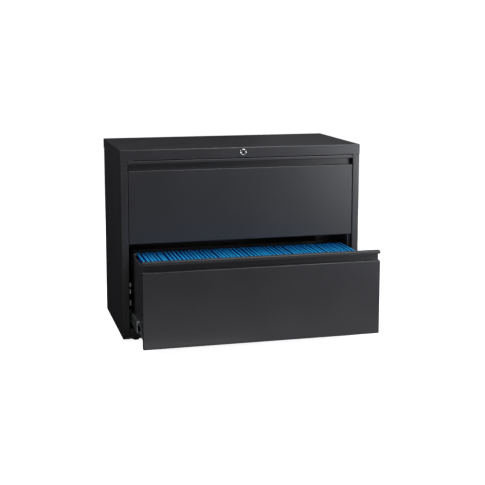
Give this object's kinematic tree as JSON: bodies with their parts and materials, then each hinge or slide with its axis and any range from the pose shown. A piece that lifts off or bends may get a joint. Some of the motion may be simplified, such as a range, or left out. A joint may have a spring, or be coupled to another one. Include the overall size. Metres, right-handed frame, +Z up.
{
  "type": "filing cabinet",
  "caption": "Wide lateral filing cabinet in folded steel with full-width drawer pulls, a cap lock and levelling feet; the lower drawer stands open with hanging folders.",
  "frame": {"origin": "on the floor, under the centre of the box around the whole cabinet with its lower drawer 300 mm open", "axes": "+Z up, the drawers open towards -Y, +X to the right of someone facing the drawers"},
  "size_m": [0.917, 0.773, 0.711],
  "materials": {
    "charcoal_paint": "fine-textured satin powder coat, charcoal",
    "zinc_steel": "zinc plated",
    "nickel": "satin nickel plate",
    "weight_iron": "painted bar",
    "nylon": "moulded, dull",
    "folder_board": "uncoated blue folder board"
  },
  "bodies": {
    "case": {"top_cap": "charcoal_paint", "right_side_panel": "charcoal_paint", "left_side_panel": "charcoal_paint", "back_panel": "charcoal_paint", "base_pan": "charcoal_paint", "base_rail": "charcoal_paint", "lock_rail": "charcoal_paint", "upright_front_left": "zinc_steel", "upright_front_right": "zinc_steel", "upright_rear_left": "zinc_steel", "upright_rear_right": "zinc_steel", "counterweight": "weight_iron", "lock_housing": "nickel", "upper_slide_outer_left": "zinc_steel", "upper_slide_outer_right": "zinc_steel", "lower_slide_outer_left": "zinc_steel", "lower_slide_outer_right": "zinc_steel"},
    "lock_barrel": {"lock_plug": "nickel", "lock_cam": "zinc_steel"},
    "lock_link": {"lock_link": "zinc_steel"},
    "interlock_bar": {"interlock_bar": "zinc_steel"},
    "foot_front_left": {"foot_front_left": "nylon"},
    "foot_front_right": {"foot_front_right": "nylon"},
    "foot_rear_left": {"foot_rear_left": "nylon"},
    "foot_rear_right": {"foot_rear_right": "nylon"},
    "upper_drawer": {"upper_drawer_front": "charcoal_paint", "upper_front_liner": "charcoal_paint", "upper_drawer_side_right": "charcoal_paint", "upper_drawer_side_left": "charcoal_paint", "upper_drawer_bottom": "charcoal_paint", "upper_drawer_back": "charcoal_paint", "upper_hang_rail_front": "zinc_steel", "upper_hang_rail_rear": "zinc_steel", "upper_slide_inner_left": "zinc_steel", "upper_slide_inner_right": "zinc_steel"},
    "upper_slide_middles": {"upper_slide_middle_left": "zinc_steel", "upper_slide_middle_right": "zinc_steel"},
    "upper_outer_cages": {"upper_ball_cage_outer_left": "zinc_steel", "upper_ball_cage_outer_right": "zinc_steel"},
    "upper_inner_cages": {"upper_ball_cage_inner_left": "zinc_steel", "upper_ball_cage_inner_right": "zinc_steel"},
    "lower_drawer": {"lower_drawer_front": "charcoal_paint", "lower_front_liner": "charcoal_paint", "lower_drawer_side_right": "charcoal_paint", "lower_drawer_side_left": "charcoal_paint", "lower_drawer_bottom": "charcoal_paint", "lower_drawer_back": "charcoal_paint", "lower_hang_rail_front": "zinc_steel", "lower_hang_rail_rear": "zinc_steel", "lower_folder_pack_1": "folder_board", "lower_folder_pack_2": "folder_board", "lower_folder_pack_3": "folder_board", "lower_slide_inner_left": "zinc_steel", "lower_slide_inner_right": "zinc_steel"},
    "lower_slide_middles": {"lower_slide_middle_left": "zinc_steel", "lower_slide_middle_right": "zinc_steel"},
    "lower_outer_cages": {"lower_ball_cage_outer_left": "zinc_steel", "lower_ball_cage_outer_right": "zinc_steel"},
    "lower_inner_cages": {"lower_ball_cage_inner_left": "zinc_steel", "lower_ball_cage_inner_right": "zinc_steel"}
  },
  "joints": [
    {"name": "lock_turn", "type": "hinge", "parent": "case", "child": "lock_barrel", "pos_m": [0, -0.0865, 0.692], "axis": [0, -1, 0], "range_deg": [-0.5, 90.5]},
    {"name": "lock_link_slide", "type": "slide", "parent": "case", "child": "lock_link", "axis": [1, 0, 0], "range_m": [0, 0.02263]},
    {"name": "interlock_bar_slide", "type": "slide", "parent": "case", "child": "interlock_bar", "axis": [0, 0, 1], "range_m": [-0.0002, 0.0116]},
    {"name": "foot_front_left_screw", "type": "slide", "parent": "case", "child": "foot_front_left", "axis": [0, 0, -1], "range_m": [0, 0.015]},
    {"name": "foot_front_right_screw", "type": "slide", "parent": "case", "child": "foot_front_right", "axis": [0, 0, -1], "range_m": [0, 0.015]},
    {"name": "foot_rear_left_screw", "type": "slide", "parent": "case", "child": "foot_rear_left", "axis": [0, 0, -1], "range_m": [0, 0.015]},
    {"name": "foot_rear_right_screw", "type": "slide", "parent": "case", "child": "foot_rear_right", "axis": [0, 0, -1], "range_m": [0, 0.015]},
    {"name": "upper_drawer_slide", "type": "slide", "parent": "case", "child": "upper_drawer", "axis": [0, -1, 0], "range_m": [0, 0.4]},
    {"name": "upper_slide_middles_slide", "type": "slide", "parent": "case", "child": "upper_slide_middles", "axis": [0, -1, 0], "range_m": [-0.0005, 0.2005]},
    {"name": "upper_outer_cages_slide", "type": "slide", "parent": "case", "child": "upper_outer_cages", "axis": [0, -1, 0], "range_m": [-0.0005, 0.1005]},
    {"name": "upper_inner_cages_slide", "type": "slide", "parent": "case", "child": "upper_inner_cages", "axis": [0, -1, 0], "range_m": [-0.0005, 0.3005]},
    {"name": "lower_drawer_slide", "type": "slide", "parent": "case", "child": "lower_drawer", "axis": [0, -1, 0], "range_m": [-0.3, 0.1]},
    {"name": "lower_slide_middles_slide", "type": "slide", "parent": "case", "child": "lower_slide_middles", "axis": [0, -1, 0], "range_m": [-0.1505, 0.0505]},
    {"name": "lower_outer_cages_slide", "type": "slide", "parent": "case", "child": "lower_outer_cages", "axis": [0, -1, 0], "range_m": [-0.0755, 0.0255]},
    {"name": "lower_inner_cages_slide", "type": "slide", "parent": "case", "child": "lower_inner_cages", "axis": [0, -1, 0], "range_m": [-0.2255, 0.0755]}
  ],
  "couplings": [
    {"joint": "lock_turn", "follows": "lock_link_slide", "rad_per_m": 69.42},
    {"joint": "interlock_bar_slide", "follows": "lock_link_slide", "ratio": 0.5},
    {"joint": "upper_slide_middles_slide", "follows": "upper_drawer_slide", "ratio": 0.5},
    {"joint": "upper_outer_cages_slide", "follows": "upper_drawer_slide", "ratio": 0.25},
    {"joint": "upper_inner_cages_slide", "follows": "upper_drawer_slide", "ratio": 0.75},
    {"joint": "lower_slide_middles_slide", "follows": "lower_drawer_slide", "ratio": 0.5},
    {"joint": "lower_outer_cages_slide", "follows": "lower_drawer_slide", "ratio": 0.25},
    {"joint": "lower_inner_cages_slide", "follows": "lower_drawer_slide", "ratio": 0.75}
  ]
}
